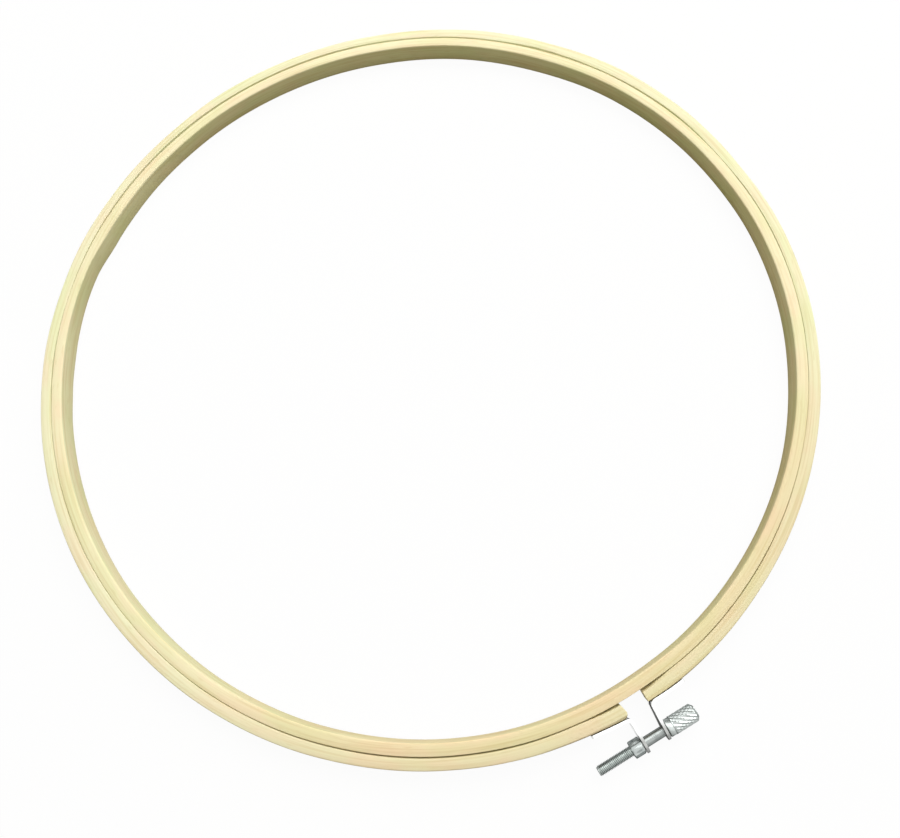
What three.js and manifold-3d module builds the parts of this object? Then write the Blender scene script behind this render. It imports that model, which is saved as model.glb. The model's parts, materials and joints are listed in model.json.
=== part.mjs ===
// Embroidery hoop, 30 cm, lying flat: a closed inner ring inside a split outer ring, which a thumb
// screw, a hex nut and two bent metal brackets pull tight.
// Millimetres, +Z up. The hoop lies on z = 0, the clamp is at the front (-Y) and the screw runs along X.

import * as THREE from 'three';
import { mergeVertices } from 'three/addons/utils/BufferGeometryUtils.js';
import Module from 'manifold-3d';

const wasm = await Module();
wasm.setup();

// Rings
const innerRingOuterRadius = 149.9;
const innerRingThickness = 4.3;
const outerRingThickness = 4.3;
const ringHeight = 8;
const ringClearance = 0.3;
const ringEdgeEase = 0.4;
const splitWidth = 8.7;

// Brackets, bent from sheet metal. The margin is how much narrower a bracket is than the ring at each
// face, and an ear's overhang is how far it stands past its end of the ring.
const sheetThickness = 1;
const bracketMargin = 0.7;
const bendInnerRadius = 0.5;
const legLength = 15;
const leftEarOverhang = 0.9;
const rightEarOverhang = 0.3;
const earHoleClearance = 0.5;

// Brads that hold each bracket to its end of the outer ring. The margins are the wood left under a
// point, and the brads' distances from the end of the leg and from the ear.
const bradShankRadius = 0.6;
const bradHeadRadius = 1.3;
const bradHeadHeight = 0.55;
const bradRimHeight = 0.2;
const bradTipLength = 0.8;
const bradTipMargin = 1.3;
const bradEndMargin = 3.2;
const bradBendMargin = 4.8;

// Thumb screw, M3.5 x 0.6, with a diagonally knurled head
const screwRadius = 1.75;
const screwStandoff = 11.1;
const screwTailLength = 13.5;
const screwEndChamfer = 0.5;
const headRadius = 3.15;
const headLength = 11.8;
const headEndChamfer = 0.9;
const collarLength = 2.2;
const collarChamfer = 0.25;
const knurlPitch = 1.4;
const knurlDepth = 0.35;
const knurlAngle = 0.55;
const knurlCrestShare = 0.3;

// Hex nut
const nutAcrossFlats = 6;
const nutThickness = 4;
const nutChamferAngle = Math.PI / 6;

// Clearance between pieces that touch on the real hoop
const seatClearance = 0.3;

// Facets, and how far a cutting tool reaches past what it cuts
const ringSegments = 128;
const roundSegments = 32;
const smallRoundSegments = 16;
const legSteps = 8;
const bendSteps = 6;
const domeSteps = 3;
const knurlSteps = 10;
const cutMargin = 2;

// Places that follow from the sizes
const innerRingInnerRadius = innerRingOuterRadius - innerRingThickness;
const outerRingInnerRadius = innerRingOuterRadius + ringClearance;
const outerRingOuterRadius = outerRingInnerRadius + outerRingThickness;
const legInnerRadius = outerRingOuterRadius + seatClearance;
const legOuterRadius = legInnerRadius + sheetThickness;
const midHeight = ringHeight / 2;
const bracketWidth = ringHeight - 2 * bracketMargin;
const screwAxisRadius = outerRingOuterRadius + screwStandoff;
const nutCornerRadius = nutAcrossFlats / Math.sqrt(3);
const frontReach = screwAxisRadius + Math.max(bracketWidth / 2, headRadius, nutCornerRadius);
const leftGapFace = splitWidth / 2 - leftEarOverhang;
const rightGapFace = splitWidth / 2 - rightEarOverhang;
const collarX = rightGapFace + sheetThickness + seatClearance;
const headEndX = collarX + headLength;
const nutInnerX = -(leftGapFace + sheetThickness + seatClearance);
const nutOuterX = nutInnerX - nutThickness;
const screwEndX = nutOuterX - screwTailLength;
const bradShankLength = 2 * seatClearance + sheetThickness + outerRingThickness - bradTipMargin;
const ringCentreY = (frontReach - outerRingOuterRadius) / 2;

// The two ends of the outer ring: which way each lies from the front, and where its ear stands
const ends = [
  { name: 'left', side: -1, gapFace: leftGapFace },
  { name: 'right', side: 1, gapFace: rightGapFace },
];

// A closed three.js geometry as a solid that can be joined and cut
function solidOf(geometry) {
  const bare = geometry.clone();
  bare.deleteAttribute('normal');
  bare.deleteAttribute('uv');
  const merged = mergeVertices(bare);
  const corners = merged.index.array;
  const kept = [];
  for (let i = 0; i < corners.length; i += 3) {
    const [a, b, c] = corners.subarray(i, i + 3);
    if (a !== b && b !== c && c !== a) {
      kept.push(a, b, c);
    }
  }
  return new wasm.Manifold(new wasm.Mesh({
    numProp: 3,
    vertProperties: new Float32Array(merged.attributes.position.array),
    triVerts: new Uint32Array(kept),
  }));
}

// The faces of a solid as a three.js geometry
function geometryOf(solid) {
  const { vertProperties, triVerts } = solid.getMesh();
  const geometry = new THREE.BufferGeometry();
  geometry.setAttribute('position', new THREE.BufferAttribute(vertProperties, 3));
  geometry.setIndex(new THREE.BufferAttribute(triVerts, 1));
  geometry.computeVertexNormals();
  return geometry;
}

// Points on an arc around a centre, both ends included
function arc(centreX, centreY, radius, from, to, steps) {
  return Array.from({ length: steps + 1 }, (_, i) => {
    const angle = from + ((to - from) * i) / steps;
    return [centreX + radius * Math.cos(angle), centreY + radius * Math.sin(angle)];
  });
}

// A profile of (radius, height) points turned around the z axis
function turned(profile, segments) {
  const points = profile.map(([radius, height]) => new THREE.Vector2(radius, height));
  return solidOf(new THREE.LatheGeometry(points, segments).rotateX(Math.PI / 2));
}

// An outline of (x, y) points raised along z from 0 to a height
function raised(outline, height, steps = 1) {
  const shape = new THREE.Shape(outline.map(([x, y]) => new THREE.Vector2(x, y)));
  return new THREE.ExtrudeGeometry(shape, { depth: height, steps, bevelEnabled: false });
}

// A round bar on the z axis
function bar(radius, from, to, segments) {
  return turned([[0, from], [radius, from], [radius, to], [0, to]], segments);
}

// A wooden ring of rectangular section with eased edges
function ringOf(innerRadius, thickness) {
  const outerRadius = innerRadius + thickness;
  const ease = ringEdgeEase;
  return turned([
    [innerRadius + ease, 0],
    [outerRadius - ease, 0],
    [outerRadius, ease],
    [outerRadius, ringHeight - ease],
    [outerRadius - ease, ringHeight],
    [innerRadius + ease, ringHeight],
    [innerRadius, ringHeight - ease],
    [innerRadius, ease],
    [innerRadius + ease, 0],
  ], ringSegments);
}

// A place along a bracket's leg, as an angle from the front of the ring
function legAngle(gapFace, distance) {
  return (gapFace + distance) / legOuterRadius;
}

// Where the two brads of a bracket sit, the one near the end of the leg first
function bradAngles(gapFace) {
  return [legAngle(gapFace, legLength - bradEndMargin), legAngle(gapFace, bradBendMargin)];
}

// A brad points at the ring's centre, with the underside of its head just clear of the leg
function bradPlacement(side, angle) {
  const outward = new THREE.Vector3(side * Math.sin(angle), -Math.cos(angle), 0);
  const seat = outward.clone().multiplyScalar(legOuterRadius + seatClearance).setZ(midHeight);
  const turn = new THREE.Quaternion().setFromUnitVectors(new THREE.Vector3(0, 0, 1), outward);
  return { seat, turn };
}

// The bore that a brad needs in the leg and in the wood
function bradBore(side, angle) {
  const { seat, turn } = bradPlacement(side, angle);
  const radius = bradShankRadius + seatClearance;
  const placed = new THREE.Matrix4().compose(seat, turn, new THREE.Vector3(1, 1, 1));
  const depth = bradShankLength + seatClearance;
  return bar(radius, -depth, cutMargin, smallRoundSegments).transform(placed.elements);
}

function innerRing() {
  return ringOf(innerRingInnerRadius, innerRingThickness);
}

// The split ring: open at the front, with a blind bore for each brad
function outerRing() {
  const split = new THREE.BoxGeometry(
    splitWidth,
    outerRingThickness + 2 * cutMargin,
    ringHeight + 2 * cutMargin,
  ).translate(0, -(outerRingInnerRadius + outerRingThickness / 2), midHeight);
  const bores = ends.flatMap(({ side, gapFace }) => (
    bradAngles(gapFace).map((angle) => bradBore(side, angle))
  ));
  const whole = ringOf(outerRingInnerRadius, outerRingThickness);
  return bores.reduce((ring, bore) => ring.subtract(bore), whole.subtract(solidOf(split)));
}

// A bracket from above, at the right end of the ring: a leg along the ring, a bend and an ear
function bracketOutline(gapFace) {
  const bendOuterRadius = bendInnerRadius + sheetThickness;
  const bendX = gapFace + bendOuterRadius;
  const bendCentreRadius = legInnerRadius + bendOuterRadius;
  const bendY = -Math.sqrt(bendCentreRadius ** 2 - bendX ** 2);
  const front = -Math.PI / 2;
  const legStart = front + Math.asin(bendX / bendCentreRadius);
  const legEnd = front + legAngle(gapFace, legLength);
  const inward = legStart + Math.PI;
  const tipY = -(frontReach + cutMargin);
  return [
    ...arc(0, 0, legInnerRadius, legEnd, legStart, legSteps),
    ...arc(bendX, bendY, bendOuterRadius, inward, Math.PI, bendSteps).slice(1),
    [gapFace, tipY],
    [gapFace + sheetThickness, tipY],
    ...arc(bendX, bendY, bendInnerRadius, Math.PI, inward, bendSteps),
    ...arc(0, 0, legOuterRadius, legStart, legEnd, legSteps).slice(1),
  ];
}

// A bracket's side view as a block across the clamp: straight, with a round end around the screw
function bracketSideBlock(gapFace) {
  const half = bracketWidth / 2;
  const reach = gapFace + legLength + cutMargin;
  const sideView = [
    [0, -half],
    ...arc(screwAxisRadius, 0, half, -Math.PI / 2, Math.PI / 2, roundSegments / 2),
    [0, half],
  ];
  const standing = new THREE.Matrix4().makeBasis(
    new THREE.Vector3(0, -1, 0),
    new THREE.Vector3(0, 0, 1),
    new THREE.Vector3(-1, 0, 0),
  ).setPosition(reach, 0, midHeight);
  return solidOf(raised(sideView, reach).applyMatrix4(standing));
}

// A bracket as it sits on the ring's right end. The left one is made alike and turned over.
function bracket(gapFace) {
  const holeEnd = gapFace + sheetThickness + cutMargin;
  const earHole = bar(screwRadius + earHoleClearance, 0, holeEnd, roundSegments)
    .rotate([0, 90, 0])
    .translate([0, -screwAxisRadius, midHeight]);
  const blank = solidOf(raised(bracketOutline(gapFace), ringHeight))
    .intersect(bracketSideBlock(gapFace))
    .subtract(earHole);
  return bradAngles(gapFace).reduce((part, angle) => part.subtract(bradBore(1, angle)), blank);
}

// A brad with its head's underside on z = 0 and its point below
function brad() {
  const domeHeight = bradHeadHeight - bradRimHeight;
  const dome = arc(0, 0, 1, 0, Math.PI / 2, domeSteps)
    .map(([across, up]) => [bradHeadRadius * across, bradRimHeight + domeHeight * up]);
  dome[domeSteps][0] = 0;
  return turned([
    [0, -bradShankLength],
    [bradShankRadius, bradTipLength - bradShankLength],
    [bradShankRadius, 0],
    [bradHeadRadius, 0],
    ...dome,
  ], smallRoundSegments);
}

// What the knurl leaves of the head: ridges that climb it like a steep right-hand thread
function knurledCore(length) {
  const turnPerLength = Math.tan(knurlAngle) / headRadius;
  const ridges = Math.round((2 * Math.PI * headRadius) / knurlPitch);
  const pitch = (2 * Math.PI) / ridges;
  const rootRadius = headRadius - knurlDepth;
  const crestRadius = headRadius + knurlDepth;
  const halfCrest = (knurlCrestShare * pitch) / 2;
  const outline = Array.from({ length: ridges }, (_, i) => [
    ...arc(0, 0, crestRadius, i * pitch - halfCrest, i * pitch + halfCrest, 1),
    ...arc(0, 0, rootRadius, (i + 0.5) * pitch, (i + 1) * pitch, 1).slice(0, 1),
  ]).flat();
  const core = raised(outline, length, knurlSteps);
  const points = core.attributes.position;
  for (let i = 0; i < points.count; i += 1) {
    const point = new THREE.Vector3().fromBufferAttribute(points, i);
    point.applyAxisAngle(new THREE.Vector3(0, 0, 1), point.z * turnPerLength);
    points.setXYZ(i, point.x, point.y, point.z);
  }
  return solidOf(core);
}

// The thumb screw on the z axis, its threaded end below and its head above
function thumbScrew() {
  const turnedScrew = turned([
    [0, screwEndX],
    [screwRadius - screwEndChamfer, screwEndX],
    [screwRadius, screwEndX + screwEndChamfer],
    [screwRadius, collarX],
    [headRadius - collarChamfer, collarX],
    [headRadius, collarX + collarChamfer],
    [headRadius, headEndX - headEndChamfer],
    [headRadius - headEndChamfer, headEndX],
    [0, headEndX],
  ], roundSegments);
  const knurlLength = headLength - collarLength + cutMargin;
  const grooves = bar(headRadius + cutMargin, 0, knurlLength, roundSegments)
    .subtract(knurledCore(knurlLength));
  return turnedScrew.subtract(grooves.translate([0, 0, collarX + collarLength]));
}

// The nut on the z axis, standing on z = 0, with its corners chamfered at both faces
function clampNut() {
  const flatRadius = nutAcrossFlats / 2;
  const coneRadius = nutCornerRadius + cutMargin;
  const coneHeight = (coneRadius - flatRadius) * Math.tan(nutChamferAngle);
  const sixth = Math.PI / 3;
  const firstCorner = Math.PI / 2;
  const hexagon = arc(0, 0, nutCornerRadius, firstCorner, firstCorner + 5 * sixth, 5);
  const cones = turned([
    [0, 0],
    [flatRadius, 0],
    [coneRadius, coneHeight],
    [coneRadius, nutThickness - coneHeight],
    [flatRadius, nutThickness],
    [0, nutThickness],
  ], roundSegments);
  const bore = bar(screwRadius + seatClearance, -cutMargin, nutThickness + cutMargin, roundSegments);
  return solidOf(raised(hexagon, nutThickness)).intersect(cones).subtract(bore);
}

function bamboo(color) {
  return new THREE.MeshStandardMaterial({ color, roughness: 0.6, metalness: 0 });
}

function zincPlate(color, roughness) {
  return new THREE.MeshStandardMaterial({ color, roughness, metalness: 1 });
}

function named(name, solid, material) {
  const mesh = new THREE.Mesh(geometryOf(solid), material);
  mesh.name = name;
  return mesh;
}

const hoop = new THREE.Group();
hoop.position.y = ringCentreY;
hoop.add(named('inner_ring', innerRing(), bamboo(0xeedfb4)));
hoop.add(named('outer_ring', outerRing(), bamboo(0xebdbad)));

for (const { name, side, gapFace } of ends) {
  const plate = named(`${name}_bracket`, bracket(gapFace), zincPlate(0xb4bab8, 0.35));
  if (side < 0) {
    plate.rotation.y = Math.PI;
    plate.position.z = ringHeight;
  }
  hoop.add(plate);
  bradAngles(gapFace).forEach((angle, i) => {
    const pin = named(`${name}_brad_${i + 1}`, brad(), zincPlate(0xa9afae, 0.4));
    const { seat, turn } = bradPlacement(side, angle);
    pin.position.copy(seat);
    pin.quaternion.copy(turn);
    hoop.add(pin);
  });
}

// The screw's own axis runs along z, so its group is turned to lie along x
const screwLine = new THREE.Group();
screwLine.position.set(0, -screwAxisRadius, midHeight);
screwLine.rotation.y = Math.PI / 2;
screwLine.add(named('thumb_screw', thumbScrew(), zincPlate(0xbcc3bf, 0.3)));
const nut = named('clamp_nut', clampNut(), zincPlate(0xb6bcba, 0.3));
nut.position.z = nutOuterX;
screwLine.add(nut);
hoop.add(screwLine);

export default hoop;
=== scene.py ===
"""Embroidery hoop: a closed bamboo ring inside a split one, clamped by a knurled screw and a nut."""

import json
import logging
import math
from dataclasses import dataclass, field
from enum import Enum
from typing import Callable, Iterable, Optional, Sequence

import bmesh
import bpy
from bmesh.types import BMEdge, BMesh, BMFace, BMVert
from bpy.types import Material, Node, NodeSocket, Object
from mathutils import Matrix, Quaternion, Vector, noise


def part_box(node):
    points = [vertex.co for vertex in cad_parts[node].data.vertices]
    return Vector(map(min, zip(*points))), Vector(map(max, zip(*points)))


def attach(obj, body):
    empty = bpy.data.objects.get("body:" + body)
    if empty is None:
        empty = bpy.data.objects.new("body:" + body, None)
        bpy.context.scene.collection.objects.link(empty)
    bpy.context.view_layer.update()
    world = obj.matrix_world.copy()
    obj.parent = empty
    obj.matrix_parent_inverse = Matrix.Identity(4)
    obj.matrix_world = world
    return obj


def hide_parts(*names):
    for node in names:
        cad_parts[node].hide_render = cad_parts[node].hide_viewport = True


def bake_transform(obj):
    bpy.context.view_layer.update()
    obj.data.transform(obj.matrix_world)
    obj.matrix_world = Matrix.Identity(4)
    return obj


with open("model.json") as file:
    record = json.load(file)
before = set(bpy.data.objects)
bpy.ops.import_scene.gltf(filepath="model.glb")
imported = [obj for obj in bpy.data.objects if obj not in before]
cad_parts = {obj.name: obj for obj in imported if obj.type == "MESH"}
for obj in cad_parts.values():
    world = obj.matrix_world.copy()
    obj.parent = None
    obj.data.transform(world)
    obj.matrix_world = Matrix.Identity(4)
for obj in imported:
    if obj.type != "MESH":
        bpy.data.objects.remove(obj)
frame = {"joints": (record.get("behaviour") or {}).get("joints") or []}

Colour = tuple[float, float, float, float]
Screen = tuple[float, float, float]
Move = Callable[[Vector], Vector]

MM = 0.001
MERGE = 0.002 * MM
ORIGIN = (0.0, 0.0, 0.0)
X_AXIS = Vector((1.0, 0.0, 0.0))
Z_AXIS = Vector((0.0, 0.0, 1.0))
FACING_X = Matrix.Rotation(math.pi / 2.0, 4, "Y")
FULL_TURN = 2.0 * math.pi
CORNER = math.radians(60.0)
WHITE: Colour = (1.0, 1.0, 1.0, 1.0)
log = logging.getLogger("hoop")


class Side(Enum):
    """The two ends of the split ring, seen from above with the clamp in front."""

    LEFT = -1
    RIGHT = 1


def smoothstep(value: float) -> float:
    """Eases a share from 0 to 1, and holds it at 0 or 1 outside that range."""
    share = min(max(value, 0.0), 1.0)
    return share * share * (3.0 - 2.0 * share)


def mixed(start: float, end: float, share: float) -> float:
    """Returns the value a share of the way from start to end."""
    return start + (end - start) * share


def eased_round(pairs: Sequence[tuple[float, float]], degrees: float) -> float:
    """Eases between sizes that are given at angles round a ring.

    Args:
        pairs: an angle in degrees and the size in millimetres there, in order of the angles.
        degrees: the angle that is asked for.

    Returns:
        The size there, in metres.
    """
    turn = degrees % 360.0
    first, last = pairs[0], pairs[-1]
    places = [(last[0] - 360.0, last[1]), *pairs, (first[0] + 360.0, first[1])]
    for (start, before), (end, after) in zip(places, places[1:]):
        if start <= turn <= end:
            return mixed(before, after, smoothstep((turn - start) / (end - start))) * MM
    return 0.0


@dataclass(frozen=True)
class HandBend:
    """How a hand-bent hoop departs from true circles, by the angle round it.

    Args:
        out_of_round: how far both strips lie outside the circle.
        open_joint: how wide the joint between the two rings stands open.
        thick_foot: how much thicker the inner strip is at its lower edge.
        thick_outside: how much thicker the outer strip is.
    """

    out_of_round: tuple[tuple[float, float], ...] = (
        (0.0, 0.0), (12.0, 0.1), (25.0, 0.0), (38.0, -0.4), (52.0, -0.33), (70.0, -0.72),
        (88.0, -0.88), (105.0, -0.65), (120.0, -0.15), (132.0, 0.3), (146.0, 0.42), (160.0, 0.05),
        (180.0, -0.15), (198.0, -0.4), (212.0, -0.18), (228.0, 0.08), (244.0, 0.4), (255.0, 0.45),
        (263.0, 0.22), (273.0, 0.05), (281.0, 0.38), (295.0, 0.1), (310.0, 0.03), (325.0, 0.12),
        (340.0, 0.25), (350.0, 0.25),
    )
    open_joint: tuple[tuple[float, float], ...] = (
        (4.0, 0.12), (14.0, 0.7), (30.0, 0.64), (40.0, 1.05), (47.0, 0.64), (60.0, 0.62),
        (76.0, 0.8), (90.0, 0.84), (106.0, 1.0), (120.0, 0.75), (132.0, 0.38), (142.0, 0.1),
        (152.0, 0.42), (164.0, 0.26), (180.0, 0.32), (196.0, 0.15), (212.0, 0.28), (226.0, 0.42),
        (238.0, 0.6), (252.0, 0.58), (262.0, 0.4), (267.5, 0.95), (272.5, 1.2), (274.6, 0.68),
        (276.5, 0.26), (279.0, 0.24), (284.0, 0.36), (295.0, 0.42), (303.0, 0.28), (314.0, 0.08),
        (325.0, 0.18), (340.0, 0.22), (348.0, 0.38), (356.0, 0.4),
    )
    thick_foot: tuple[tuple[float, float], ...] = (
        (12.0, 0.1), (28.0, 0.0), (42.0, 0.35), (55.0, 0.25), (70.0, 0.45), (84.0, 0.32),
        (110.0, 0.3), (126.0, 0.4), (132.0, 0.62), (138.0, 0.58), (150.0, 0.88), (156.0, 0.5),
        (162.0, 0.08), (180.0, 0.08), (188.0, -0.05), (200.0, 0.0), (270.0, 0.0), (282.0, 0.2),
        (294.0, 0.05), (310.0, -0.2), (325.0, 0.3), (342.0, 0.25), (356.0, 0.1),
    )
    thick_outside: tuple[tuple[float, float], ...] = (
        (0.0, 0.0), (7.0, 0.3), (14.0, 0.6), (25.0, 0.95), (32.0, 0.85), (40.0, 0.55), (50.0, 0.6),
        (56.0, 0.38), (65.0, 0.22), (74.0, 0.3), (95.0, 0.55), (107.0, 0.02), (120.0, -0.05),
        (131.0, 0.0), (141.0, -0.32), (152.0, -0.12), (165.0, -0.08), (176.0, 0.1), (190.0, 0.2),
        (215.0, 0.1), (232.0, 0.0), (244.0, 0.0), (252.0, 0.15), (258.0, 0.3), (263.5, 0.5),
        (268.8, 0.95), (271.0, 0.1), (276.0, 0.4), (283.0, 0.12), (292.0, 0.0), (340.0, 0.05),
        (350.0, 0.25), (355.0, 0.15),
    )

    def outer_wall(self, degrees: float) -> float:
        """Returns how far the outer strip's outer wall lies outside its circle, in metres."""
        return eased_round(self.out_of_round, degrees) + eased_round(self.thick_outside, degrees)


@dataclass(frozen=True)
class HoopLayout:
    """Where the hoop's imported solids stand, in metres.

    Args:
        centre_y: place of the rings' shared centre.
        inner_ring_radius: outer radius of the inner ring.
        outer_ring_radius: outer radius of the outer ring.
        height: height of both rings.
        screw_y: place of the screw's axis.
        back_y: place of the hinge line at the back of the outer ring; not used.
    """

    centre_y: float
    inner_ring_radius: float
    outer_ring_radius: float
    height: float
    screw_y: float
    back_y: float

    @classmethod
    def from_frame(cls) -> "HoopLayout":
        """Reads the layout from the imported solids' boxes and joints.

        Returns:
            The layout.
        """
        _, outer_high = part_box("outer_ring")
        _, inner_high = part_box("inner_ring")
        joints = {joint["name"]: joint for joint in frame["joints"]}
        return cls(
            centre_y=outer_high.y - outer_high.x,
            inner_ring_radius=inner_high.x,
            outer_ring_radius=outer_high.x,
            height=outer_high.z,
            screw_y=joints["screw_turn"]["pos_m"][1],
            back_y=joints["ring_spread"]["pos_m"][1],
        )

    @property
    def middle(self) -> float:
        """Height of the rings' mid plane."""
        return self.height / 2.0


class NodeSketch:
    """Lays out the nodes of a material or of the world around its first shader."""

    def __init__(self, block: bpy.types.ID) -> None:
        """Starts from the shader and the output that a new material or world has.

        Args:
            block: the material or the world.
        """
        block.use_nodes = True
        self.tree = block.node_tree
        nodes = self.tree.nodes
        self.shader = nodes.get("Principled BSDF") or nodes["Background"]
        self.output = nodes.get("Material Output") or nodes["World Output"]

    def add(self, kind: str, feeds: Optional[dict] = None, **settings: object) -> Node:
        """Adds a node, sets its properties and feeds its inputs.

        Args:
            kind: the node's type.
            feeds: what each input gets, by its name or number.
            **settings: values of the node's own properties.

        Returns:
            The new node.
        """
        node = self.tree.nodes.new(kind)
        for key, value in settings.items():
            setattr(node, key, value)
        self.feed(node, feeds or {})
        return node

    def feed(self, node: Node, feeds: dict) -> None:
        """Gives inputs of a node a link or a constant.

        Args:
            node: the node that is fed.
            feeds: another node's output, or a constant, by the input's name or number.
        """
        for key, value in feeds.items():
            if isinstance(value, NodeSocket):
                self.tree.links.new(value, node.inputs[key])
            else:
                node.inputs[key].default_value = value

    def math(self, operation: str, first: object, second: object = 0.0) -> NodeSocket:
        """Adds a sum of two numbers, such as MULTIPLY."""
        return self.add("ShaderNodeMath", {0: first, 1: second}, operation=operation).outputs[0]

    def spread(self, value: object, low: float, high: float, start: float = 0.0, end: float = 1.0
               ) -> NodeSocket:
        """Eases values between low and high onto start to end, and holds them there outside."""
        feeds = dict(enumerate((value, low, high, start, end)))
        return self.add("ShaderNodeMapRange", feeds, interpolation_type="SMOOTHSTEP").outputs[0]

    def blend(self, share: object, first: object, second: object, kind: str = "MIX") -> NodeSocket:
        """Mixes two colours, by the share in which the second one shows."""
        feeds = {0: share, 6: first, 7: second}
        return self.add("ShaderNodeMix", feeds, data_type="RGBA", blend_type=kind).outputs[2]

    def mix_shaders(self, share: object, first: Node, second: Node) -> Node:
        """Mixes two shaders, by the share in which the second one shows."""
        feeds = {0: share, 1: first.outputs[0], 2: second.outputs[0]}
        return self.add("ShaderNodeMixShader", feeds)

    def coordinates(self, **mapping: tuple[float, float, float]) -> NodeSocket:
        """Adds the object's own coordinates, moved by a Location or stretched by a Scale."""
        place = self.add("ShaderNodeTexCoord").outputs["Object"]
        return self.add("ShaderNodeMapping", {"Vector": place, **mapping}).outputs[0]

    def noise(self, vector: NodeSocket, detail: float, roughness: float = 0.5, fourth: object = 0.0
              ) -> NodeSocket:
        """Adds clouds from 0 to 1, placed by a vector and a fourth coordinate."""
        feeds = {"Vector": vector, "W": fourth, "Scale": 1.0, "Detail": detail, "Roughness": roughness}
        return self.add("ShaderNodeTexNoise", feeds, noise_dimensions="4D").outputs["Fac"]

    def bump(self, height: NodeSocket, distance: float, strength: float = 1.0) -> None:
        """Gives the surface a relief of a depth in metres, of which a share shows."""
        feeds = {"Height": height, "Distance": distance, "Strength": strength}
        self.feed(self.shader, {"Normal": self.add("ShaderNodeBump", feeds).outputs[0]})

    def show(self, lit: Node, shown: Node) -> None:
        """Shows one shader to rays that look at it, straight or mirrored, and lights with another.

        Args:
            lit: the shader for the light that it gives.
            shown: the shader that is seen.
        """
        path = self.add("ShaderNodeLightPath").outputs
        seen = self.math("MAXIMUM", path["Is Glossy Ray"], path["Is Transmission Ray"])
        seen = self.math("MAXIMUM", path["Is Camera Ray"], seen)
        self.feed(self.output, {"Surface": self.mix_shaders(seen, lit, shown).outputs[0]})


def linear(value: float) -> float:
    """Turns a screen value from 0 to 255 into the share of light that it stands for."""
    share = value / 255.0
    return share / 12.92 if share <= 0.04045 else ((share + 0.055) / 1.055) ** 2.4


def tone(red: float, green: float, blue: float) -> Colour:
    """Turns a colour given in screen values into the values that shaders use."""
    return (linear(red), linear(green), linear(blue), 1.0)


@dataclass(frozen=True)
class Grain:
    """Clouds that are drawn out round a ring.

    Args:
        along: how often they repeat per radian.
        across: how often they repeat per metre.
        shift: place in the pattern, so that two grains differ.
        low: value of the clouds at which the grain starts to show.
        high: value at which it shows in full.
        detail: number of finer layers.
    """

    along: float
    across: float
    shift: float
    low: float
    high: float
    detail: float = 1.0


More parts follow.
